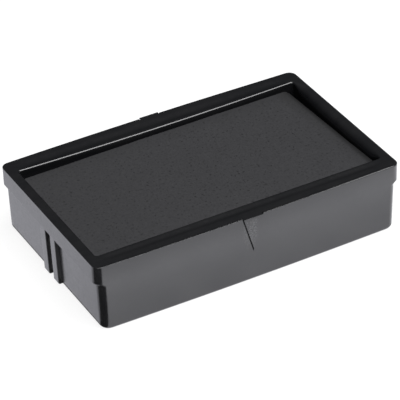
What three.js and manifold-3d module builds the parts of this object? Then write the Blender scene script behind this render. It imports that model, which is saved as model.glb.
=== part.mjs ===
// Replacement ink pad cartridge for a self-inking stamp.
// An open tray, moulded in one piece, holds a felt ink reservoir with a fine-pored foam pad on top.
// Frame: millimetres, +Z up, +X along the length. The origin is the centre of the underside.

import * as THREE from 'three';
import { mergeVertices } from 'three/addons/utils/BufferGeometryUtils.js';
import Module from 'manifold-3d';

const wasm = await Module();
wasm.setup();

// Tray, outside
const LENGTH = 50.0;
const WIDTH = 30.4;
const HEIGHT = 11.0;
const SIDE_CROWN = 0.25;
const CORNER_RADIUS = 1.2;
const EDGE_RADIUS = 0.4;
const END_ROUNDING = 0.6;

// The rim overhangs the body at the two short ends only
const RIM_HEIGHT = 2.85;
const RIM_CHAMFER = 0.55;
const END_STEP = 0.55;
const END_INSET_AT_FLOOR = 0.7;

// Tray, inside
const END_WALL = 1.65;
const SIDE_WALL = 2.95;
const FLOOR = 1.3;
const INNER_CORNER_RADIUS = 0.25;
const BACK_WALL_BULGE = 0.45;

// Two guide ribs stand on the left end
const RIB_WIDTH = 1.55;
const RIB_SPACING = 3.0;
const RIB_DRAFT = 0.2;
const RIB_FOOT = 0.2;
const RIB_ROOT = 0.6;

// A raised V on the middle of each long side points down
const POINTER_HALF_WIDTH = 1.62;
const POINTER_DROP = 5.85;
const POINTER_RELIEF = 0.25;
const POINTER_ROOT = 0.8;

// A shallow panel is sunk into the underside, with four ejector pin marks in it
const PANEL_MARGIN = 3.0;
const PANEL_DEPTH = 0.3;
const PIN_RADIUS = 1.5;
const PIN_DEPTH = 0.12;
const PIN_SPACING_X = 34.0;
const PIN_SPACING_Y = 14.0;

// Soft pieces
const FOAM_RECESS = 0.75;
const FOAM_THICKNESS = 4.0;
const FOAM_LEFT = -23.25;
const FOAM_RIGHT_FRONT = 22.85;
const FOAM_RIGHT_BACK = 22.65;
const FOAM_FRONT = -12.15;
const FOAM_BACK_LEFT = 11.3;
const FOAM_BACK_RIGHT = 11.85;
const FOAM_BACK_BOW = 0.1;
const FOAM_CORNER_RADIUS = 0.6;
const FELT_CLEARANCE = 0.5;

const CURVE_SEGMENTS = 8;
const CUT_MARGIN = 1.0;

const BLACK_PLASTIC = { color: 0x1c1c1f, roughness: 0.3, metalness: 0 };
const INKED_FOAM = { color: 0x434346, roughness: 0.95, metalness: 0 };
const INKED_FELT = { color: 0x26262a, roughness: 1, metalness: 0 };

// Rectangle with round corners. frontBow and backBow push the middle of a long side outwards.
function roundedRectangle(length, width, radius, frontBow = 0, backBow = 0) {
  const x = length / 2;
  const y = width / 2;
  const shape = new THREE.Shape();
  shape.moveTo(-x + radius, -y);
  shape.quadraticCurveTo(0, -y - 2 * frontBow, x - radius, -y);
  shape.absarc(x - radius, -y + radius, radius, -Math.PI / 2, 0);
  shape.absarc(x - radius, y - radius, radius, 0, Math.PI / 2);
  shape.quadraticCurveTo(0, y + 2 * backBow, -x + radius, y);
  shape.absarc(-x + radius, y - radius, radius, Math.PI / 2, Math.PI);
  shape.absarc(-x + radius, -y + radius, radius, Math.PI, 1.5 * Math.PI);
  return shape;
}

function polygon(points) {
  return new THREE.Shape(points.map(([x, y]) => new THREE.Vector2(x, y)));
}

function extrude(shape, bottom, top) {
  const depth = top - bottom;
  const geometry = new THREE.ExtrudeGeometry(shape, {
    depth,
    bevelEnabled: false,
    curveSegments: CURVE_SEGMENTS,
  });
  return geometry.translate(0, 0, bottom);
}

// Extrusion through several levels. Each level has its height and how far its ends and sides are set in.
function loft(shape, levels) {
  const steps = levels.length - 1;
  const geometry = new THREE.ExtrudeGeometry(shape, {
    depth: steps,
    steps,
    bevelEnabled: false,
    curveSegments: CURVE_SEGMENTS,
  });
  const position = geometry.attributes.position;
  for (let i = 0; i < position.count; i += 1) {
    const level = levels[Math.round(position.getZ(i))];
    const x = position.getX(i) * (1 - (2 * level.ends) / LENGTH);
    const y = position.getY(i) * (1 - (2 * level.sides) / WIDTH);
    position.setXYZ(i, x, y, level.z);
  }
  return geometry;
}

function solid(geometry) {
  geometry.deleteAttribute('normal');
  geometry.deleteAttribute('uv');
  const merged = mergeVertices(geometry);
  const vertProperties = new Float32Array(merged.attributes.position.array);
  const triVerts = new Uint32Array(merged.index.array);
  return new wasm.Manifold(new wasm.Mesh({ numProp: 3, vertProperties, triVerts }));
}

function geometryOf(manifold) {
  const mesh = manifold.getMesh();
  const geometry = new THREE.BufferGeometry();
  geometry.setAttribute('position', new THREE.BufferAttribute(mesh.vertProperties, 3));
  geometry.setIndex(new THREE.BufferAttribute(mesh.triVerts, 1));
  geometry.computeVertexNormals();
  return geometry;
}

// Round lower edge, drafted end faces, chamfered step and upright rim
function outerLevels() {
  const rimBottom = HEIGHT - RIM_HEIGHT;
  const roundingSteps = 4;
  const levels = [];
  for (let i = 0; i <= roundingSteps; i += 1) {
    const angle = (i / roundingSteps) * (Math.PI / 2);
    const share = 1 - Math.sin(angle);
    levels.push({
      z: EDGE_RADIUS * (1 - Math.cos(angle)),
      ends: END_INSET_AT_FLOOR + END_ROUNDING * share,
      sides: EDGE_RADIUS * share,
    });
  }
  levels.push({ z: rimBottom - RIM_CHAMFER, ends: END_STEP, sides: 0 });
  levels.push({ z: rimBottom, ends: 0, sides: 0 });
  levels.push({ z: HEIGHT, ends: 0, sides: 0 });
  return levels;
}

// Rib outline seen from the front, extruded across the rib's width
function guideRib(y) {
  const face = -LENGTH / 2;
  const root = face + END_INSET_AT_FLOOR + RIB_ROOT;
  const top = HEIGHT - RIM_HEIGHT;
  const outline = polygon([
    [face, top],
    [face + RIB_DRAFT, RIB_FOOT + RIB_DRAFT],
    [face + 2 * RIB_DRAFT, RIB_FOOT],
    [root, RIB_FOOT],
    [root, top],
  ]);
  const geometry = extrude(outline, -RIB_WIDTH / 2, RIB_WIDTH / 2);
  return solid(geometry.rotateX(Math.PI / 2).translate(0, y, 0));
}

// V outline seen from the front. side is -1 on the front wall and 1 on the back wall.
function pointer(side) {
  const outline = polygon([
    [-POINTER_HALF_WIDTH, HEIGHT],
    [0, HEIGHT - POINTER_DROP],
    [POINTER_HALF_WIDTH, HEIGHT],
  ]);
  const wall = WIDTH / 2 + SIDE_CROWN;
  const geometry = extrude(outline, wall - POINTER_ROOT, wall + POINTER_RELIEF);
  geometry.rotateX(Math.PI / 2);
  if (side > 0) {
    geometry.rotateZ(Math.PI);
  }
  return solid(geometry);
}

function cavity() {
  const length = LENGTH - 2 * END_WALL;
  const width = WIDTH - 2 * SIDE_WALL;
  const outline = roundedRectangle(length, width, INNER_CORNER_RADIUS, 0, -BACK_WALL_BULGE);
  return solid(extrude(outline, FLOOR, HEIGHT + CUT_MARGIN));
}

function undersidePanel() {
  const outline = roundedRectangle(LENGTH - 2 * PANEL_MARGIN, WIDTH - 2 * PANEL_MARGIN, CORNER_RADIUS);
  return solid(extrude(outline, -CUT_MARGIN, PANEL_DEPTH));
}

function ejectorMark(x, y) {
  const height = CUT_MARGIN + PANEL_DEPTH + PIN_DEPTH;
  const geometry = new THREE.CylinderGeometry(PIN_RADIUS, PIN_RADIUS, height, 4 * CURVE_SEGMENTS);
  geometry.rotateX(Math.PI / 2);
  return solid(geometry.translate(x, y, height / 2 - CUT_MARGIN));
}

function trayGeometry() {
  const outline = roundedRectangle(LENGTH, WIDTH, CORNER_RADIUS, SIDE_CROWN, SIDE_CROWN);
  let tray = solid(loft(outline, outerLevels()));
  for (const side of [-1, 1]) {
    tray = tray.add(guideRib((side * RIB_SPACING) / 2));
    tray = tray.add(pointer(side));
  }
  tray = tray.subtract(cavity());
  tray = tray.subtract(undersidePanel());
  for (const x of [-PIN_SPACING_X / 2, PIN_SPACING_X / 2]) {
    for (const y of [-PIN_SPACING_Y / 2, PIN_SPACING_Y / 2]) {
      tray = tray.subtract(ejectorMark(x, y));
    }
  }
  return geometryOf(tray);
}

// The foam block is cut a little out of square, with a bowed back edge and one worn corner,
// so it leaves a gap at its right end
function foamGeometry() {
  const cornerX = FOAM_RIGHT_BACK - FOAM_CORNER_RADIUS;
  const cornerY = FOAM_BACK_RIGHT - FOAM_CORNER_RADIUS;
  const middleX = (FOAM_LEFT + cornerX) / 2;
  const middleY = (FOAM_BACK_LEFT + FOAM_BACK_RIGHT) / 2 + 2 * FOAM_BACK_BOW;
  const outline = new THREE.Shape();
  outline.moveTo(FOAM_LEFT, FOAM_FRONT);
  outline.lineTo(FOAM_RIGHT_FRONT, FOAM_FRONT);
  outline.lineTo(FOAM_RIGHT_BACK, cornerY);
  outline.quadraticCurveTo(FOAM_RIGHT_BACK, FOAM_BACK_RIGHT, cornerX, FOAM_BACK_RIGHT);
  outline.quadraticCurveTo(middleX, middleY, FOAM_LEFT, FOAM_BACK_LEFT);
  const top = HEIGHT - FOAM_RECESS;
  return extrude(outline, top - FOAM_THICKNESS, top);
}

function reservoirGeometry() {
  const length = LENGTH - 2 * (END_WALL + FELT_CLEARANCE);
  const width = WIDTH - 2 * (SIDE_WALL + FELT_CLEARANCE);
  const top = HEIGHT - FOAM_RECESS - FOAM_THICKNESS;
  return extrude(roundedRectangle(length, width, INNER_CORNER_RADIUS), FLOOR, top);
}

function piece(name, geometry, finish) {
  const mesh = new THREE.Mesh(geometry, new THREE.MeshStandardMaterial(finish));
  mesh.name = name;
  return mesh;
}

const inkPad = new THREE.Group();
inkPad.add(piece('tray', trayGeometry(), BLACK_PLASTIC));
inkPad.add(piece('foam_pad', foamGeometry(), INKED_FOAM));
inkPad.add(piece('ink_reservoir', reservoirGeometry(), INKED_FELT));

export default inkPad;
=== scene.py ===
"""Replacement ink pad cartridge for a self-inking stamp, on a plain pale floor.

A black moulded tray holds a felt ink reservoir with an inked foam pad on top.
Shapes are built in millimetres and turned into metres where a mesh is made.
"""

import math

import bmesh
import bpy
import numpy as np
from mathutils import Matrix, Vector, noise


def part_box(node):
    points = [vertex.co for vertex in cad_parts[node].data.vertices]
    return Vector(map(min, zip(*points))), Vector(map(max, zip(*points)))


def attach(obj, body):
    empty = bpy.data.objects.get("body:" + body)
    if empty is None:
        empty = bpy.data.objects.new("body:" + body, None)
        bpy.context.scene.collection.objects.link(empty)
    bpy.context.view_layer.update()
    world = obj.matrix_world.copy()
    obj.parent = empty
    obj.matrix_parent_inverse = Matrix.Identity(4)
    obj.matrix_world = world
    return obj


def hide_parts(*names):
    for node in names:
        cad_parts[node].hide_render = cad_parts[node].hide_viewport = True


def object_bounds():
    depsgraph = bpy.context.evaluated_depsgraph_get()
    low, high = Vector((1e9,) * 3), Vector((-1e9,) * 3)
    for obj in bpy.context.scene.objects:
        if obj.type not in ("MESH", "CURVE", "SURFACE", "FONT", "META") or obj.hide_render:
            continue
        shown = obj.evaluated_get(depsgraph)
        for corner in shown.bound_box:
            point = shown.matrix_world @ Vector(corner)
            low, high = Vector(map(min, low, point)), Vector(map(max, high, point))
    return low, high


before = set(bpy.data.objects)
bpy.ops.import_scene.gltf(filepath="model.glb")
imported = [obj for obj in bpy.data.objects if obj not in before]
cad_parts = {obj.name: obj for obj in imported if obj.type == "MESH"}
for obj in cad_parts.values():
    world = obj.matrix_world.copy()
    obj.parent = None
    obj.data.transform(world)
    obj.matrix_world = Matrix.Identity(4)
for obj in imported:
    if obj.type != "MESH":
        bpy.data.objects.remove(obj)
cad_low, cad_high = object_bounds()

MM = 0.001

tray_low, tray_high = (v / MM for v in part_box("tray"))
foam_low, foam_high = (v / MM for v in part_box("foam_pad"))
felt_low, felt_high = (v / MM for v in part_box("ink_reservoir"))

# Tray, outside
POINTER_RELIEF = 0.25
SIDE_CROWN = 0.25
HALF_LENGTH = tray_high.x
HALF_WIDTH = tray_high.y - POINTER_RELIEF - SIDE_CROWN
HEIGHT = tray_high.z
CORNER_RADIUS = 1.2
EDGE_RADIUS = 0.4
END_ROUNDING = 0.85
RIM_EDGE_RADIUS = 0.04
RIM_EDGE_RADIUS_RIGHT = 0.15
RIM_EDGE_GROWS_FROM_X = 6.0
RIM_EDGE_GROWN_AT_X = 18.0
STEP_RADIUS = 0.04

# The rim overhangs the body at the two short ends only
RIM_HEIGHT = 2.85
RIM_BOTTOM = HEIGHT - RIM_HEIGHT
RIM_CHAMFER = 0.5
END_STEP = 0.55
END_INSET_AT_FLOOR = 0.7

# Tray, inside
END_WALL = 1.65
SIDE_WALL = 2.95
FLOOR = felt_low.z
INNER_CORNER_RADIUS = 0.35
INNER_CORNER_RADIUS_AT_FLOOR = 0.02
INNER_EDGE_RADIUS = 0.28
RIGHT_INNER_EDGE_RADIUS = 1.35
INNER_EDGE_GROWS_OVER = 2.0
FLOOR_FILLET = 0.4
BACK_WALL_BULGE = 0.45
RIGHT_WALL_BULGE = 0.3
RIGHT_WALL_BULGE_FROM_BACK = 10.0

# Sink mark along the middle of the two thick side walls
FRONT_SINK_Y = 13.4
FRONT_SINK_HALF_WIDTH = 0.8
FRONT_SINK_DEPTH = 0.085
BACK_SINK_Y = 13.3
BACK_SINK_HALF_WIDTH = 1.2
BACK_SINK_DEPTH = 0.13
SINK_FULL_UNTIL_X = 21.0
SINK_ENDS_AT_X = 23.2

# Underside
PANEL_MARGIN = 3.0
PANEL_DEPTH = 0.3
PANEL_EDGE_RADIUS = 0.1
PIN_RADIUS = 1.5
PIN_DEPTH = 0.12
PIN_EDGE = 0.04
PIN_X = 17.0
PIN_Y = 7.0

# Guide ribs on the left end
RIB_WIDTH = 1.55
RIB_SPACING = 3.0
RIB_DRAFT = 0.2
RIB_FOOT = 0.2
RIB_ROOT = 0.6
RIB_INTO_RIM = 0.3
RIB_EDGE_RADIUS = 0.1

# Raised V on each long side
POINTER_HALF_WIDTH = 1.6
POINTER_DROP = 5.55
POINTER_BELOW_RIM = 0.005
POINTER_ROOT = 0.8
GROOVE_WIDTH = 0.13
GROOVE_DEPTH = 0.3
POINTER_EDGE_RADIUS = 0.04
GROOVE_EDGE_RADIUS = 0.02

# Foam, cut a little out of square and worn along its right edge
FOAM_RIGHT_SKEW = 0.55
FOAM_BACK_SKEW = 0.55
FOAM_BACK_BOW = 0.1
FOAM_CORNER_RADIUS = 0.8
FOAM_EDGE_RADIUS = 0.3
FOAM_RIGHT_SAG = 0.7
FOAM_RIGHT_SAG_WIDTH = 1.2
FOAM_GRID = 0.13
FOAM_SIDE_GRID = 0.25

# Foam's surface. A pore opens where its noise is above a level, and is full depth a step higher.
FOAM_PORE_SIZE = 0.33
FOAM_PORE_DEPTH = 0.10
FOAM_PORE_LEVEL = 0.58
FOAM_PORE_STEP = 0.15
FOAM_CELL_SIZE = 0.2
FOAM_CELL_DEPTH = 0.015
FOAM_SWELL_SIZE = 6.0
FOAM_SWELL_DEPTH = 0.03

# Painted shade along the foam's right and back edges, each as a distance in from the right or the
# back edge
FOAM_LIGHT_SHADE_EDGE = 3.0
FOAM_MID_SHADE_EDGE = 1.2
FOAM_DEEP_SHADE_EDGE = 0.5
FOAM_BACK_SHADE_EDGE = 3.5
FOAM_BACK_SHADE_FULL_EDGE = 0.3

# The painted shade along the right edge gets up to this many times deeper behind the middle, in full
# at a place on Y
FOAM_SHADE_DEEPER_AT_BACK = 2.2
FOAM_SHADE_DEEPER_AT_Y = 10.0

# The foam's left end is a little darker, from one place on X to another
FOAM_LEFT_STARTS_AT = 5.0
FOAM_LEFT_FULL_AT = -22.0

# Felt
FELT_EDGE_RADIUS = 0.6
FELT_GRID = 0.4
FELT_TUFT_SIZE = 1.1
FELT_LUMP_SIZE = 4.0
FELT_DEPTH = 0.08

# Painted light on the guide ribs and between them: a lighter colour there
RIB_LIGHT_FROM_END = 0.8
RIB_LIGHT_HALF_WIDTH = 2.4
RIB_LIGHT_BELOW_RIM = 0.3
RIB_LIGHT_FADE = 0.2

# Scuffs on the front V, centred a little left of its tip. They fade downwards, from full to faint.
SCUFF_X = -0.45
SCUFF_HALF_WIDTH = 0.6
SCUFF_FADES_OVER = 0.7
SCUFF_FAINT = 0.15
SCUFF_FAINT_AT = 5.5
SCUFF_FULL_AT = 8.5
SCUFF_BELOW_RIM = 0.5
SCUFF_FADE = 0.2

# Light from the table that the front and left faces mirror. The curve runs away from the front.
TABLE_TOP = 2.75
TABLE_MOTTLE = 0.05
TABLE_LEFT = 1.3
TABLE_LEFT_NEAR = 0.85 * TABLE_LEFT
TABLE_LEFT_NEAR_AT = -10.0
TABLE_LEFT_FULL_AT = 4.0
TABLE_LEFT_FADE = 1.0
TABLE_CURVE_SPAN = 20.0
TABLE_CURVE = ((0.0, 0.7), (0.12, 0.745), (0.33, 0.84), (0.53, 1.0), (0.65, 0.76), (1.0, 0.75))

# The table gives no light under the tray
UNDER_TRAY_INSET = 0.25
UNDER_TRAY_FADE = 0.3

# Floor, the sheet and the dark card just above it. The card is a sector round the near left corner.
FLOOR_HALF_SIZE = 4000.0
FLOOR_GLOW = 0.87
SHEET_HALF_SIZE = 1500.0
SHEET_HEIGHT = 0.02
CARD_RADIUS = 22.0
CARD_START_DEGREES = -6
CARD_TURN_DEGREES = 111
CARD_HEIGHT = 0.05
CARD_GLOW = 0.12

# Light and camera, in metres, watts and degrees, with the lens in millimetres.
# The camera's offset from its aim is right, up and back.
SOFTBOX_PLACE = (0.15, -0.35, 0.95)
SOFTBOX_SIZE = (1.1, 0.7)
SOFTBOX_POWER = 30.0
SKY_STARTS_AT = 0.2
SKY_OVERHEAD = 0.15
CAMERA_AZIMUTH = -28.366
CAMERA_ELEVATION = 34.651
CAMERA_ROLL = -1.813
CAMERA_OFFSET = (-0.0001775, 0.0037105, 0.3566)
CAMERA_AIM = (0.0, 0.0, 0.00018)
CAMERA_LENS = 216.25

# Colours, as linear red, green and blue
BLACK = (0.0, 0.0, 0.0)
WHITE = (1.0, 1.0, 1.0)
PLASTIC_DEEP = (0.0041, 0.0043, 0.005)
PLASTIC_PALE = (0.0059, 0.006, 0.0066)
PLASTIC_DUST = (0.012, 0.012, 0.013)
# Painted light on the guide ribs
RIB_PAINTED_LIGHT = (0.022, 0.022, 0.023)
SCUFF = (0.08, 0.08, 0.083)
FOAM_DEEP = (0.0202, 0.0202, 0.0218)
FOAM_PALE = (0.0222, 0.0222, 0.0238)
FOAM_LEFT_END = (0.018, 0.018, 0.019)
FOAM_CELL = (0.0145, 0.0145, 0.0157)
FOAM_GRAIN = (0.0165, 0.0165, 0.0178)
FOAM_PORE = (0.006, 0.006, 0.0065)
# Painted shade on the foam's right and back edges
FOAM_PAINTED_SHADE = (0.01, 0.01, 0.0105)
FOAM_PAINTED_DEEP_SHADE = (0.001, 0.001, 0.0011)
FELT_DEEP = (0.003, 0.003, 0.0035)
FELT_FIBRE = (0.02, 0.02, 0.022)
FLOOR_DEEP = (0.10, 0.10, 0.10)
FLOOR_PALE = (0.11, 0.11, 0.11)
TABLE_TINT = (0.98, 0.98, 1.03)
TABLE_LEFT_TINT = (0.97, 0.97, 1.05)
CARD_TINT = (1.0, 1.0, 1.05)

# Mesh resolution round the tray
LONG_STEPS = 60
SHORT_STEPS = 30
CORNER_STEPS = 10
PIN_STEPS = 48

SMOOTH_BELOW_DEGREES = 25
CUT_MARGIN = 1.0


# ---------------------------------------------------------------- mesh tools


def mesh_object(name, vertices, faces):
    """A mesh object from points in millimetres."""
    mesh = bpy.data.meshes.new(name)
    points = np.asarray(vertices, float) * MM
    mesh.from_pydata(points.tolist(), [], faces)
    mesh.validate()
    made = bpy.data.objects.new(name, mesh)
    bpy.context.scene.collection.objects.link(made)
    return made


def face_outwards(made):
    edit = bmesh.new()
    edit.from_mesh(made.data)
    bmesh.ops.recalc_face_normals(edit, faces=edit.faces)
    edit.to_mesh(made.data)
    edit.free()


def arc(centre, radius, start_degrees):
    """The points inside a quarter circle, without its two ends."""
    points = []
    for i in range(1, CORNER_STEPS):
        angle = math.radians(start_degrees + 90 * i / CORNER_STEPS)
        x = centre[0] + radius * math.cos(angle)
        y = centre[1] + radius * math.sin(angle)
        points.append((x, y))
    return points


def ring(half_x, half_y, radius, front_bow=0.0, back_bow=0.0):
    """Round a rectangle with round corners. Every ring has the same number of points."""
    x, y = half_x - radius, half_y - radius
    long_side = [2 * i / LONG_STEPS - 1 for i in range(LONG_STEPS + 1)]
    short_side = [2 * i / SHORT_STEPS - 1 for i in range(SHORT_STEPS + 1)]
    points = [(s * x, -half_y - front_bow * (1 - s * s)) for s in long_side]
    points += arc((x, -y), radius, -90)
    points += [(half_x, s * y) for s in short_side]
    points += arc((x, y), radius, 0)
    points += [(-s * x, half_y + back_bow * (1 - s * s)) for s in long_side]
    points += arc((-x, y), radius, 90)
    points += [(-half_x, -s * y) for s in short_side]
    points += arc((-x, -y), radius, 180)
    return np.array(points)


def at_height(outline, z):
    return np.column_stack([outline, np.broadcast_to(z, len(outline))])


def loft(name, rings):
    """A closed solid through rings of equal length, with a flat face at each end."""
    n = len(rings[0])
    faces = [list(range(n))[::-1]]
    for level in range(len(rings) - 1):
        low, high = level * n, (level + 1) * n
        for i in range(n):
            j = (i + 1) % n
            faces.append([low + i, low + j, high + j, high + i])
    top = (len(rings) - 1) * n
    faces.append([top + i for i in range(n)])
    return mesh_object(name, np.vstack(rings), faces)


def quarter(steps):
    """Sine and cosine at even steps through a quarter turn."""
    angles = [math.pi / 2 * i / steps for i in range(steps + 1)]
    return [(math.sin(a), math.cos(a)) for a in angles]


def boolean(target, tool, operation):
    modifier = target.modifiers.new("join", "BOOLEAN")
    modifier.object = tool
    modifier.operation = operation
    modifier.solver = "EXACT"
    apply_modifiers(target)
    bpy.data.objects.remove(tool)


def apply_modifiers(made):
    depsgraph = bpy.context.evaluated_depsgraph_get()
    evaluated = made.evaluated_get(depsgraph)
    mesh = bpy.data.meshes.new_from_object(evaluated)
    made.modifiers.clear()
    made.data = mesh


def prism(name, outline, low, high, place, edge_radius):
    """An outline pushed from low to high, put in place by a function, with all edges rounded."""
    n = len(outline)
    points = [place(u, v, w) for w in (low, high) for u, v in outline]
    faces = [list(range(n))[::-1], [n + i for i in range(n)]]
    faces += [[i, (i + 1) % n, n + (i + 1) % n, n + i] for i in range(n)]
    made = mesh_object(name, points, faces)
    face_outwards(made)
    bevel = made.modifiers.new("edges", "BEVEL")
    bevel.width = edge_radius * MM
    bevel.segments = 3
    bevel.limit_method = "ANGLE"
    bevel.angle_limit = math.radians(20)
    apply_modifiers(made)
    return made


def smooth(made):
    """Shades smoothly, with sharp edges left sharp."""
    made.data.shade_smooth()
    made.data.set_sharp_from_angle(angle=math.radians(SMOOTH_BELOW_DEGREES))
    weighted = made.modifiers.new("normals", "WEIGHTED_NORMAL")
    weighted.keep_sharp = True
    weighted.weight = 60


# ---------------------------------------------------------------- tray


def outer_ring(end_inset, side_inset):
    half_x, half_y = HALF_LENGTH - end_inset, HALF_WIDTH - side_inset
    return ring(half_x, half_y, CORNER_RADIUS, SIDE_CROWN, SIDE_CROWN)


def from_corners(y, from_back=INNER_EDGE_GROWS_OVER):
    """0 at the corners of the right inner wall, growing smoothly to 1 along it."""
    corner = HALF_WIDTH - SIDE_WALL - INNER_CORNER_RADIUS
    along = np.minimum((corner + y) / INNER_EDGE_GROWS_OVER, (corner - y) / from_back)
    along = np.clip(along, 0, 1)
    return along * along * (3 - 2 * along)


def inner_ring(outset=0.0):
    half_x = HALF_LENGTH - END_WALL + outset
    half_y = HALF_WIDTH - SIDE_WALL + outset
    outline = ring(half_x, half_y, INNER_CORNER_RADIUS + outset, 0.0, -BACK_WALL_BULGE)
    x, y = outline[:, 0], outline[:, 1]
    outline[:, 0] = x - RIGHT_WALL_BULGE * (x > 0) * from_corners(y, RIGHT_WALL_BULGE_FROM_BACK)
    return outline


def panel_ring(inset=0.0):
    half_x = HALF_LENGTH - PANEL_MARGIN - inset
    half_y = HALF_WIDTH - PANEL_MARGIN - inset
    return ring(half_x, half_y, CORNER_RADIUS - inset)


def underside_rings():
    """From the sunken panel out to the lower edge."""
    r = PANEL_EDGE_RADIUS
    rings = [at_height(panel_ring(r), PANEL_DEPTH)]
    for sine, cosine in quarter(3):
        rings.append(at_height(panel_ring(r * (1 - sine)), PANEL_DEPTH - r * (1 - cosine)))
    for sine, cosine in quarter(3):
        rings.append(at_height(panel_ring(-r * (1 - cosine)), r * (1 - sine)))
    return rings


def rounding(radius, z):
    """How far a rounded lower edge is set in at height z."""
    return radius - math.sqrt(radius**2 - max(radius - z, 0.0) ** 2)


def wall_rings():
    """Round lower edge, drafted end faces, and the chamfered step up to the rim."""
    rings = []
    for _, cosine in quarter(12):
        z = END_ROUNDING * (1 - cosine)
        end_inset = END_INSET_AT_FLOOR + rounding(END_ROUNDING, z)
        rings.append(at_height(outer_ring(end_inset, rounding(EDGE_RADIUS, z)), z))
    low, high = END_ROUNDING, RIM_BOTTOM - RIM_CHAMFER
    for share in (0.25, 0.5, 0.75, 0.96, 1.0):
        end_inset = END_INSET_AT_FLOOR + (END_STEP - END_INSET_AT_FLOOR) * share
        rings.append(at_height(outer_ring(end_inset, 0.0), low + (high - low) * share))
    rings.append(at_height(outer_ring(END_STEP - STEP_RADIUS / 2, 0.0), high + STEP_RADIUS / 2))
    rings.append(at_height(outer_ring(STEP_RADIUS, 0.0), RIM_BOTTOM - STEP_RADIUS))
    for sine, cosine in quarter(4):
        inset = STEP_RADIUS * (1 - sine) * 0.5
        z = RIM_BOTTOM - STEP_RADIUS * 0.5 + STEP_RADIUS * (1 - cosine)
        rings.append(at_height(outer_ring(inset, 0.0), z))
    return rings


def inner_edge(sine, cosine):
    """One ring of the rounded inner edge, which is rounder along the right end."""
    wall = inner_ring()
    growth = (wall[:, 0] > 0) * from_corners(wall[:, 1])
    radius = INNER_EDGE_RADIUS + (RIGHT_INNER_EDGE_RADIUS - INNER_EDGE_RADIUS) * growth
    outline = wall + (inner_ring(1.0) - wall) * (radius * (1 - sine))[:, None]
    return at_height(outline, HEIGHT - radius * (1 - cosine))


def sink(outline):
    """How far the top of the side walls sinks at each point of a ring."""
    x, y = np.abs(outline[:, 0]), outline[:, 1]
    front = np.clip(np.abs(-y - FRONT_SINK_Y) / FRONT_SINK_HALF_WIDTH, 0, 1)
    back = np.clip(np.abs(y - BACK_SINK_Y) / BACK_SINK_HALF_WIDTH, 0, 1)
    depth = FRONT_SINK_DEPTH * (0.5 + 0.5 * np.cos(math.pi * front))
    depth += BACK_SINK_DEPTH * (0.5 + 0.5 * np.cos(math.pi * back))
    along = np.clip((SINK_ENDS_AT_X - x) / (SINK_ENDS_AT_X - SINK_FULL_UNTIL_X), 0, 1)
    return depth * along * along * (3 - 2 * along)


def outer_edge(sine, cosine):
    """One ring of the rim's outer edge, which is a little rounder toward the right end."""
    wall = outer_ring(0.0, 0.0)
    growing = RIM_EDGE_GROWN_AT_X - RIM_EDGE_GROWS_FROM_X
    growth = np.clip((wall[:, 0] - RIM_EDGE_GROWS_FROM_X) / growing, 0, 1)
    radius = RIM_EDGE_RADIUS + (RIM_EDGE_RADIUS_RIGHT - RIM_EDGE_RADIUS) * growth
    inset = (wall - outer_ring(1.0, 1.0)) * (radius * (1 - cosine))[:, None]
    return at_height(wall - inset, HEIGHT - radius * (1 - sine))


def rim_rings():
    """Over the rim, from its outer edge across its flat top to its inner edge."""
    rings = [outer_edge(sine, cosine) for sine, cosine in quarter(4)]
    outside, inside = outer_edge(1, 0)[:, :2], inner_edge(0, 1)[:, :2]
    steps = 20
    for i in range(1, steps):
        share = i / steps
        outline = outside * (1 - share) + inside * share
        rings.append(at_height(outline, HEIGHT - sink(outline)))
    return rings + [inner_edge(sine, cosine) for sine, cosine in quarter(8)]


def inside_rings():
    """The lower end of the inner walls, rounded into the floor."""
    rings = []
    inset = min(FLOOR_FILLET, INNER_CORNER_RADIUS - INNER_CORNER_RADIUS_AT_FLOOR)
    for sine, cosine in quarter(3):
        z = FLOOR + FLOOR_FILLET * (1 - sine)
        rings.append(at_height(inner_ring(-inset * (1 - cosine)), z))
    return rings


def guide_rib(y):
    """A rib on the left end, its outer face in line with the rim's face."""
    face = -HALF_LENGTH
    root = face + END_INSET_AT_FLOOR + RIB_ROOT
    top = RIM_BOTTOM + RIB_INTO_RIM
    outline = [
        (face, top),
        (face + RIB_DRAFT, RIB_FOOT + RIB_DRAFT),
        (face + 2 * RIB_DRAFT, RIB_FOOT),
        (root, RIB_FOOT),
        (root, top),
    ]

    def place(u, v, w):
        return u, y + w, v

    half = RIB_WIDTH / 2
    return prism("rib", outline, -half, half, place, RIB_EDGE_RADIUS)


def pointer(name, side, wider, top, low, high, edge_radius):
    """A V on the wall, from low to high. side is -1 at the front and 1 at the back."""
    steepness = POINTER_DROP / POINTER_HALF_WIDTH
    half = POINTER_HALF_WIDTH + wider
    half_at_top = half + (top - HEIGHT) / steepness
    outline = [(-half_at_top, top), (0.0, HEIGHT - steepness * half), (half_at_top, top)]
    wall = HALF_WIDTH + SIDE_CROWN

    def place(u, v, w):
        return -side * u, side * (wall + w), v

    return prism(name, outline, low, high, place, edge_radius)


def add_pointer(tray, side):
    """The raised V, with a fine groove along its foot."""
    top = HEIGHT + CUT_MARGIN
    outside = CUT_MARGIN
    groove = pointer("groove", side, GROOVE_WIDTH, top, -GROOVE_DEPTH, outside, GROOVE_EDGE_RADIUS)
    boolean(tray, groove, "DIFFERENCE")
    top = HEIGHT - POINTER_BELOW_RIM
    raised = pointer("raised", side, 0.0, top, -POINTER_ROOT, POINTER_RELIEF, POINTER_EDGE_RADIUS)
    boolean(tray, raised, "UNION")


def ejector_mark(x, y):
    """A shallow round disc that is cut into the underside's panel."""
    depth = PANEL_DEPTH + PIN_DEPTH
    profile = [
        (PIN_RADIUS, -CUT_MARGIN),
        (PIN_RADIUS, depth - PIN_EDGE),
        (PIN_RADIUS - PIN_EDGE, depth),
    ]
    angles = [2 * math.pi * i / PIN_STEPS for i in range(PIN_STEPS)]
    rings = []
    for radius, z in profile:
        circle = [(x + radius * math.cos(a), y + radius * math.sin(a), z) for a in angles]
        rings.append(np.array(circle))
    made = loft("mark", rings)
    face_outwards(made)
    return made


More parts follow.
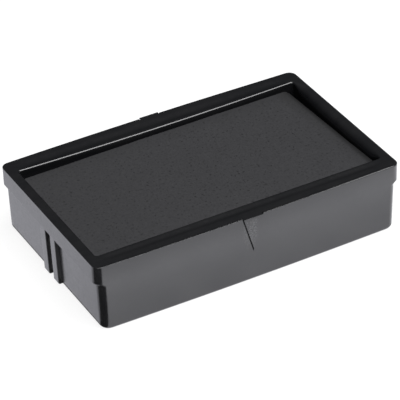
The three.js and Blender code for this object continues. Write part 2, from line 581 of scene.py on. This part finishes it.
def build_tray():
    rings = underside_rings() + wall_rings() + rim_rings() + inside_rings()
    tray = loft("tray_shell", rings)
    face_outwards(tray)
    for side in (-1, 1):
        boolean(tray, guide_rib(side * RIB_SPACING / 2), "UNION")
        add_pointer(tray, side)
    for x in (-PIN_X, PIN_X):
        for y in (-PIN_Y, PIN_Y):
            boolean(tray, ejector_mark(x, y), "DIFFERENCE")
    smooth(tray)
    return tray


# ---------------------------------------------------------------- soft pieces


def block(name, low, high, grid, side_grid, radius, warp):
    """A closed block with rounded edges, fine on top, each point then moved by warp."""
    size = [high[i] - low[i] for i in range(3)]
    steps = [max(2, round(size[0] / grid)), max(2, round(size[1] / grid))]
    steps.append(max(2, round(size[2] / side_grid)))
    index, points, faces = {}, [], []

    def vertex(i, j, k):
        key = (i, j, k)
        if key not in index:
            index[key] = len(points)
            points.append([low[a] + size[a] * key[a] / steps[a] for a in range(3)])
        return index[key]

    def quad(corners, turned_over):
        face = [vertex(*corner) for corner in corners]
        faces.append(face[::-1] if turned_over else face)

    nx, ny, nz = steps
    for i in range(nx):
        for j in range(ny):
            for k in (0, nz):
                quad([(i, j, k), (i + 1, j, k), (i + 1, j + 1, k), (i, j + 1, k)], k == 0)
    for k in range(nz):
        for i in range(nx):
            for j in (0, ny):
                quad([(i, j, k), (i + 1, j, k), (i + 1, j, k + 1), (i, j, k + 1)], j > 0)
        for j in range(ny):
            for i in (0, nx):
                quad([(i, j, k), (i, j + 1, k), (i, j + 1, k + 1), (i, j, k + 1)], i == 0)

    q = np.array(points)
    inner_low = np.array(low) + radius
    inner_high = np.array(high) - radius
    core = np.clip(q, inner_low, inner_high)
    away = q - core
    length = np.linalg.norm(away, axis=1, keepdims=True)
    normals = away / np.maximum(length, 1e-9)
    rounded = core + normals * radius
    return mesh_object(name, warp(rounded, normals), faces)


def noise_at(points, scale, seed):
    """Smooth noise from -1 to 1 at each point, with features of about scale millimetres."""
    offset = Vector((seed * 17.3, seed * 5.1, seed * 9.7))
    return np.array([noise.noise(Vector(p) / scale + offset) for p in points])


def foam_outline(points):
    """Wears the right edge, rounds the far right corner and leans the right and back faces."""
    out = points.copy()
    across = (points[:, 0] - foam_low.x) / (foam_high.x - foam_low.x)
    back = (points[:, 1] - foam_low.y) / (foam_high.y - foam_low.y)
    sag = np.clip(1 - (foam_high.x - points[:, 0]) / FOAM_RIGHT_SAG_WIDTH, 0, 1)
    height = (points[:, 2] - foam_low.z) / (foam_high.z - foam_low.z)
    out[:, 2] -= FOAM_RIGHT_SAG * (1 - np.sqrt(1 - sag**2)) * height * back
    corner = points[:, :2] - (foam_high.xy - Vector((1, 1)) * FOAM_CORNER_RADIUS)
    corner = np.maximum(corner, 1e-6)
    reach = corner.max(axis=1) / np.linalg.norm(corner, axis=1)
    out[:, :2] += corner * (reach - 1)[:, None]
    out[:, 0] -= FOAM_RIGHT_SKEW * across * back
    out[:, 1] -= FOAM_BACK_SKEW * (1 - across) * back
    out[:, 1] += FOAM_BACK_BOW * (1 - (2 * across - 1) ** 2) * back
    return out


def foam_warp(points, normals):
    """Brings the block into its outline, swells its faces a little and opens its pores."""
    pores = noise_at(points, FOAM_PORE_SIZE, 1)
    cells = noise_at(points, FOAM_CELL_SIZE, 2)
    swell = noise_at(points, FOAM_SWELL_SIZE, 3)
    depth = FOAM_PORE_DEPTH * np.clip((pores - FOAM_PORE_LEVEL) / FOAM_PORE_STEP, 0, 1)
    depth += FOAM_CELL_DEPTH * np.clip(cells, 0, 1)
    depth += FOAM_SWELL_DEPTH * (1 + swell)
    return foam_outline(points) - normals * depth[:, None]


def build_foam():
    low, high = list(foam_low), list(foam_high)
    made = block("foam_block", low, high, FOAM_GRID, FOAM_SIDE_GRID, FOAM_EDGE_RADIUS, foam_warp)
    made.data.shade_smooth()
    return made


def felt_warp(points, normals):
    """Loose fibres leave the felt's faces uneven."""
    tufts = noise_at(points, FELT_TUFT_SIZE, 4)
    lumps = noise_at(points, FELT_LUMP_SIZE, 5)
    depth = FELT_DEPTH * (1 + tufts) + FELT_DEPTH * (1 + lumps)
    return points - normals * depth[:, None]


def build_felt():
    low, high = list(felt_low), list(felt_high)
    made = block("felt_reservoir", low, high, FELT_GRID, FELT_GRID, FELT_EDGE_RADIUS, felt_warp)
    made.data.shade_smooth()
    return made


# ---------------------------------------------------------------- materials


class Nodes:
    """Short ways to add and join the nodes of one material."""

    def __init__(self, name):
        self.material = bpy.data.materials.new(name)
        self.material.use_nodes = True
        self.tree = self.material.node_tree
        self.shader = self.tree.nodes["Principled BSDF"]
        self.place = self.tree.nodes.new("ShaderNodeTexCoord").outputs["Object"]

    def join(self, output, target):
        self.tree.links.new(output, target)

    def coordinate(self, axis):
        """The place on one axis, in metres."""
        split = self.tree.nodes.new("ShaderNodeSeparateXYZ")
        self.join(self.place, split.inputs["Vector"])
        return split.outputs[axis]

    def noise(self, feature, detail=2.0, roughness=0.5, stretch=(1, 1, 1)):
        """Noise with features of about that many millimetres."""
        mapping = self.tree.nodes.new("ShaderNodeMapping")
        mapping.inputs["Scale"].default_value = stretch
        self.join(self.place, mapping.inputs["Vector"])
        made = self.tree.nodes.new("ShaderNodeTexNoise")
        made.inputs["Scale"].default_value = 1 / (feature * MM)
        made.inputs["Detail"].default_value = detail
        made.inputs["Roughness"].default_value = roughness
        self.join(mapping.outputs["Vector"], made.inputs["Vector"])
        return made.outputs["Fac"]

    def span(self, value, low, high, to_low=0.0, to_high=1.0):
        """Goes from to_low to to_high as the value goes from low to high, and no further."""
        made = self.tree.nodes.new("ShaderNodeMapRange")
        made.inputs["From Min"].default_value = low
        made.inputs["From Max"].default_value = high
        made.inputs["To Min"].default_value = to_low
        made.inputs["To Max"].default_value = to_high
        self.join(value, made.inputs["Value"])
        return made.outputs["Result"]

    def along(self, place, low, high, to_low=0.0, to_high=1.0):
        """A span over a place or a length, with low and high in millimetres."""
        return self.span(place, low * MM, high * MM, to_low, to_high)

    def curve(self, value, points):
        """A smooth curve through points, from 0 to 1 in both directions."""
        made = self.tree.nodes.new("ShaderNodeFloatCurve")
        spline = made.mapping.curves[0]
        spline.points[0].location = points[0]
        spline.points[1].location = points[-1]
        for x, y in points[1:-1]:
            spline.points.new(x, y)
        made.mapping.update()
        self.join(value, made.inputs["Value"])
        return made.outputs["Value"]

    def math(self, operation, a, b):
        made = self.tree.nodes.new("ShaderNodeMath")
        made.operation = operation
        for socket, value in zip(made.inputs, (a, b)):
            if isinstance(value, (int, float)):
                socket.default_value = value
            else:
                self.join(value, socket)
        return made.outputs["Value"]

    def product(self, *values):
        """All the values multiplied together."""
        result = values[0]
        for value in values[1:]:
            result = self.math("MULTIPLY", result, value)
        return result

    def absolute(self, value):
        return self.math("ABSOLUTE", value, 0.0)

    def blend(self, factor, first, second):
        made = self.tree.nodes.new("ShaderNodeMix")
        made.data_type = "RGBA"
        colours = [socket for socket in made.inputs if socket.type == "RGBA"]
        for socket, value in zip(colours, (first, second)):
            if isinstance(value, tuple):
                socket.default_value = (*value, 1.0)
            else:
                self.join(value, socket)
        self.join(factor, made.inputs["Factor"])
        return next(s for s in made.outputs if s.type == "RGBA")

    def bump(self, height, distance, strength=1.0, below=None):
        made = self.tree.nodes.new("ShaderNodeBump")
        made.inputs["Strength"].default_value = strength
        made.inputs["Distance"].default_value = distance * MM
        self.join(height, made.inputs["Height"])
        if below is not None:
            self.join(below, made.inputs["Normal"])
        return made.outputs["Normal"]

    def finish(self, colour, roughness, normal=None):
        sockets = {"Base Color": colour, "Roughness": roughness, "Normal": normal}
        for name, output in sockets.items():
            if output is not None:
                self.join(output, self.shader.inputs[name])
        return self.material


def painted_rib_light(n):
    """Where light is painted: 1 on the guide ribs and between them, 0 elsewhere."""
    end = -HALF_LENGTH + RIB_LIGHT_FROM_END
    on_end = n.along(n.coordinate("X"), end + RIB_LIGHT_FADE, end)
    from_middle = n.absolute(n.coordinate("Y"))
    between = n.along(from_middle, RIB_LIGHT_HALF_WIDTH + RIB_LIGHT_FADE, RIB_LIGHT_HALF_WIDTH)
    below_rim = n.along(n.coordinate("Z"), RIM_BOTTOM, RIM_BOTTOM - RIB_LIGHT_BELOW_RIM)
    return n.product(on_end, between, below_rim)


def scuffed(n):
    """Broken up by noise on the front V, 0 elsewhere."""
    on_front = n.along(n.coordinate("Y"), -HALF_WIDTH + SCUFF_FADE, -HALF_WIDTH)
    aside = n.absolute(n.math("SUBTRACT", n.coordinate("X"), SCUFF_X * MM))
    near = n.along(aside, SCUFF_HALF_WIDTH + SCUFF_FADES_OVER, SCUFF_HALF_WIDTH)
    upper = n.along(n.coordinate("Z"), SCUFF_FAINT_AT, SCUFF_FULL_AT, SCUFF_FAINT, 1.0)
    top = HEIGHT - SCUFF_BELOW_RIM
    below_rim = n.along(n.coordinate("Z"), top + SCUFF_FADE, top)
    patchy = n.span(n.noise(0.3, 2.0, 0.6), 0.45, 0.65, to_high=0.5)
    return n.product(on_front, near, upper, below_rim, patchy)


def black_plastic():
    """Semi-gloss moulded plastic: nearly black, with faint flow marks and a fine skin."""
    n = Nodes("black_plastic")
    n.shader.inputs["IOR"].default_value = 1.5
    flow = n.noise(3.0, 3.0, 0.6, stretch=(0.35, 1.0, 1.0))
    colour = n.blend(n.span(flow, 0.35, 0.65), PLASTIC_DEEP, PLASTIC_PALE)
    dust = n.noise(0.25)
    colour = n.blend(n.span(dust, 0.62, 0.8, to_high=0.35), colour, PLASTIC_DUST)
    # Painted light: the guide ribs and the wall between them are drawn lighter
    colour = n.blend(painted_rib_light(n), colour, RIB_PAINTED_LIGHT)
    colour = n.blend(scuffed(n), colour, SCUFF)
    rough = n.span(n.noise(0.7, 3.0, 0.6), 0.3, 0.7, 0.17, 0.27)
    normal = n.bump(n.noise(5.0, 1.0), 0.012)
    normal = n.bump(n.noise(0.35), 0.0012, below=normal)
    return n.finish(colour, rough, normal)


def paint_edge_shade(n, colour):
    """Paints shade on the foam in steps toward its leaning right edge, and a little toward its back
    edge.
    """
    lean = FOAM_RIGHT_SKEW / (foam_high.y - foam_low.y)
    leaning = n.math("MULTIPLY", n.coordinate("Y"), lean)
    to_right = n.math("ADD", n.coordinate("X"), leaning)
    edge = foam_high.x - FOAM_RIGHT_SKEW / 2
    # Painted shade: darker bands toward the foam's right edge, and a lighter one toward its back
    # edge
    light_shade = n.along(to_right, edge - FOAM_LIGHT_SHADE_EDGE, edge - FOAM_MID_SHADE_EDGE, to_high=0.35)
    deeper_at_back = n.along(n.coordinate("Y"), 0.0, FOAM_SHADE_DEEPER_AT_Y, 1.0, FOAM_SHADE_DEEPER_AT_BACK)
    colour = n.blend(n.product(light_shade, deeper_at_back), colour, FOAM_PAINTED_SHADE)
    mid_shade = n.along(to_right, edge - FOAM_MID_SHADE_EDGE, edge - FOAM_DEEP_SHADE_EDGE, to_high=0.75)
    colour = n.blend(mid_shade, colour, FOAM_PAINTED_DEEP_SHADE)
    deep_shade = n.along(to_right, edge - FOAM_DEEP_SHADE_EDGE, edge, to_high=0.8)
    colour = n.blend(deep_shade, colour, FOAM_PAINTED_DEEP_SHADE)
    back_shade_from = foam_high.y - FOAM_BACK_SHADE_EDGE
    back_shade_full_from = foam_high.y - FOAM_BACK_SHADE_FULL_EDGE
    back_shade = n.along(n.coordinate("Y"), back_shade_from, back_shade_full_from, to_high=0.35)
    return n.blend(back_shade, colour, FOAM_PAINTED_SHADE)


def inked_foam():
    """Fine open foam, soaked with black ink: dull dark grey with darker pores."""
    n = Nodes("inked_foam")
    n.shader.inputs["IOR"].default_value = 1.35
    n.shader.inputs["Specular IOR Level"].default_value = 0.3
    cloudy = n.noise(7.0)
    colour = n.blend(n.span(cloudy, 0.3, 0.7), FOAM_DEEP, FOAM_PALE)
    left = n.along(n.coordinate("X"), FOAM_LEFT_STARTS_AT, FOAM_LEFT_FULL_AT, to_high=0.5)
    colour = n.blend(left, colour, FOAM_LEFT_END)
    cells = n.noise(0.22, 2.0, 0.6)
    colour = n.blend(n.span(cells, 0.35, 0.7, to_high=0.9), colour, FOAM_CELL)
    grain = n.noise(0.6, 2.0, 0.6)
    colour = n.blend(n.span(grain, 0.4, 0.6, to_high=0.35), colour, FOAM_GRAIN)
    pores = n.noise(0.38, 1.0)
    colour = n.blend(n.span(pores, 0.6, 0.75), colour, FOAM_PORE)
    colour = paint_edge_shade(n, colour)
    rough = n.span(n.noise(0.5), 0.3, 0.7, 0.8, 0.95)
    return n.finish(colour, rough, n.bump(cells, 0.02, 0.5))


def inked_felt():
    """Matted wool felt full of ink, nearly black."""
    n = Nodes("inked_felt")
    n.shader.inputs["Sheen Weight"].default_value = 0.1
    fibres = n.noise(0.18, 4.0, 0.7, stretch=(0.25, 1.0, 1.6))
    cross = n.noise(0.2, 4.0, 0.7, stretch=(1.0, 0.3, 1.2))
    both = n.product(fibres, cross)
    colour = n.blend(n.span(both, 0.15, 0.4), FELT_DEEP, FELT_FIBRE)
    rough = n.span(both, 0.1, 0.4, 0.85, 1.0)
    return n.finish(colour, rough, n.bump(both, 0.12, 0.8))


def light_only(name):
    """The start of a material that gives light and mirrors none."""
    n = Nodes(name)
    n.shader.inputs["Base Color"].default_value = (*BLACK, 1.0)
    n.shader.inputs["Specular IOR Level"].default_value = 0.0
    return n


def dim_card():
    """What the near left corner mirrors."""
    n = light_only("dim_card")
    n.shader.inputs["Emission Color"].default_value = (*CARD_TINT, 1.0)
    n.shader.inputs["Emission Strength"].default_value = CARD_GLOW
    return n.material


def mirrored_table():
    """What the plastic's faces mirror: dimmer and cooler left of the tray, uneven in front."""
    n = light_only("mirrored_table")
    away = n.along(n.coordinate("Y"), -HALF_WIDTH, -HALF_WIDTH - TABLE_CURVE_SPAN)
    low, high = TABLE_TOP * (1 - TABLE_MOTTLE), TABLE_TOP * (1 + TABLE_MOTTLE)
    mottle = n.span(n.noise(8.0), 0.3, 0.7, low, high)
    front = n.product(n.curve(away, TABLE_CURVE), mottle)
    side = n.along(
        n.coordinate("Y"), TABLE_LEFT_NEAR_AT, TABLE_LEFT_FULL_AT, TABLE_LEFT_NEAR, TABLE_LEFT
    )
    in_front = n.along(n.coordinate("X"), -HALF_LENGTH, -HALF_LENGTH + TABLE_LEFT_FADE)
    beside = n.math("SUBTRACT", 1.0, in_front)
    level = n.math("ADD", n.product(side, beside), n.product(in_front, front))
    end = HALF_LENGTH - UNDER_TRAY_INSET
    under_x = n.along(n.absolute(n.coordinate("X")), end, end - UNDER_TRAY_FADE)
    under_y = n.along(n.absolute(n.coordinate("Y")), HALF_WIDTH, HALF_WIDTH - UNDER_TRAY_FADE)
    clear = n.math("SUBTRACT", 1.0, n.product(under_x, under_y))
    n.join(n.blend(in_front, TABLE_LEFT_TINT, TABLE_TINT), n.shader.inputs["Emission Color"])
    n.join(n.product(level, clear), n.shader.inputs["Emission Strength"])
    return n.material


def pale_floor():
    """A white table lit from below, as product photographs use, so shadows on it stay faint."""
    n = Nodes("pale_floor")
    mottle = n.noise(60.0)
    colour = n.blend(n.span(mottle, 0.3, 0.7), FLOOR_DEEP, FLOOR_PALE)
    n.shader.inputs["Emission Color"].default_value = (*WHITE, 1.0)
    n.shader.inputs["Emission Strength"].default_value = FLOOR_GLOW
    n.shader.inputs["Specular IOR Level"].default_value = 0.0
    return n.finish(colour, n.span(mottle, 0.3, 0.7, 0.85, 0.95))


# ---------------------------------------------------------------- pieces


def add_piece(made, node, material):
    made.data.materials.clear()
    made.data.materials.append(material)
    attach(made, "root")
    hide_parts(node)
    return made


add_piece(build_tray(), "tray", black_plastic())
foam = add_piece(build_foam(), "foam_pad", inked_foam())
felt = add_piece(build_felt(), "ink_reservoir", inked_felt())


# ---------------------------------------------------------------- studio


def level_sheet(name, half, z, steps, material):
    """A large flat square."""
    cuts = [half * (2 * i / steps - 1) for i in range(steps + 1)]
    points = [(x, y, z) for y in cuts for x in cuts]
    row = steps + 1
    faces = []
    for j in range(steps):
        for i in range(steps):
            a = j * row + i
            faces.append([a, a + 1, a + 1 + row, a + row])
    made = mesh_object(name, points, faces)
    made.data.materials.append(material)
    return made


def only_in_reflections(made):
    made.visible_camera = False
    made.visible_diffuse = False
    made.visible_transmission = False
    made.visible_shadow = False


def dark_card(z):
    """A sector of a circle round the tray's near left corner."""
    corner_x, corner_y = -HALF_LENGTH + CORNER_RADIUS, -HALF_WIDTH + CORNER_RADIUS
    turns = 16
    points = [(corner_x, corner_y, z)]
    for i in range(turns + 1):
        angle = math.radians(CARD_START_DEGREES + CARD_TURN_DEGREES * i / turns)
        x = corner_x - CARD_RADIUS * math.sin(angle)
        y = corner_y - CARD_RADIUS * math.cos(angle)
        points.append((x, y, z))
    card = mesh_object("dark_card", points, [[0, i, i + 1] for i in range(1, turns + 1)])
    card.data.materials.append(dim_card())
    return card


def tables():
    """The floor, and the brighter sheet and dark card that the plastic's faces reflect."""
    z = cad_low.z / MM
    level_sheet("floor", FLOOR_HALF_SIZE, z, 16, pale_floor()).visible_glossy = False
    only_in_reflections(
        level_sheet("bright_sheet", SHEET_HALF_SIZE, z + SHEET_HEIGHT, 8, mirrored_table())
    )
    only_in_reflections(dark_card(z + CARD_HEIGHT))


def softbox():
    """A large soft light overhead and in front, aimed at the tray."""
    light = bpy.data.lights.new("overhead", "AREA")
    light.shape = "RECTANGLE"
    light.size, light.size_y = SOFTBOX_SIZE
    light.energy = SOFTBOX_POWER
    made = bpy.data.objects.new("overhead", light)
    made.location = SOFTBOX_PLACE
    made.rotation_euler = (-made.location).to_track_quat("-Z", "Y").to_euler()
    bpy.context.scene.collection.objects.link(made)


def surroundings():
    """A dark room, lighter overhead."""
    world = bpy.data.worlds.new("studio")
    world.use_nodes = True
    tree = world.node_tree
    background = tree.nodes["Background"]
    background.inputs["Color"].default_value = (*WHITE, 1.0)
    place = tree.nodes.new("ShaderNodeTexCoord")
    split = tree.nodes.new("ShaderNodeSeparateXYZ")
    rise = tree.nodes.new("ShaderNodeMapRange")
    rise.inputs["From Min"].default_value = SKY_STARTS_AT
    rise.inputs["To Max"].default_value = SKY_OVERHEAD
    tree.links.new(place.outputs["Generated"], split.inputs["Vector"])
    tree.links.new(split.outputs["Z"], rise.inputs["Value"])
    tree.links.new(rise.outputs["Result"], background.inputs["Strength"])
    bpy.context.scene.world = world


def add_camera():
    """A long lens from the front left and above."""
    azimuth, elevation = math.radians(CAMERA_AZIMUTH), math.radians(CAMERA_ELEVATION)
    roll = math.radians(CAMERA_ROLL)
    x = math.sin(azimuth) * math.cos(elevation)
    y = -math.cos(azimuth) * math.cos(elevation)
    back = Vector((x, y, math.sin(elevation)))
    right = Vector((0, 0, 1)).cross(back).normalized()
    up = back.cross(right)
    rolled_right = right * math.cos(roll) + up * math.sin(roll)
    rolled_up = up * math.cos(roll) - right * math.sin(roll)
    camera = bpy.data.cameras.new("camera")
    camera.lens = CAMERA_LENS
    camera.sensor_width = 36.0
    camera.clip_start, camera.clip_end = 0.01, 20.0
    made = bpy.data.objects.new("camera", camera)
    axes = Matrix((rolled_right, rolled_up, back)).transposed()
    location = axes @ Vector(CAMERA_OFFSET) + Vector(CAMERA_AIM)
    made.matrix_world = Matrix.Translation(location) @ axes.to_4x4()
    bpy.context.scene.collection.objects.link(made)
    bpy.context.scene.camera = made


tables()
softbox()
surroundings()
add_camera()
bpy.context.scene.view_settings.view_transform = "Standard"
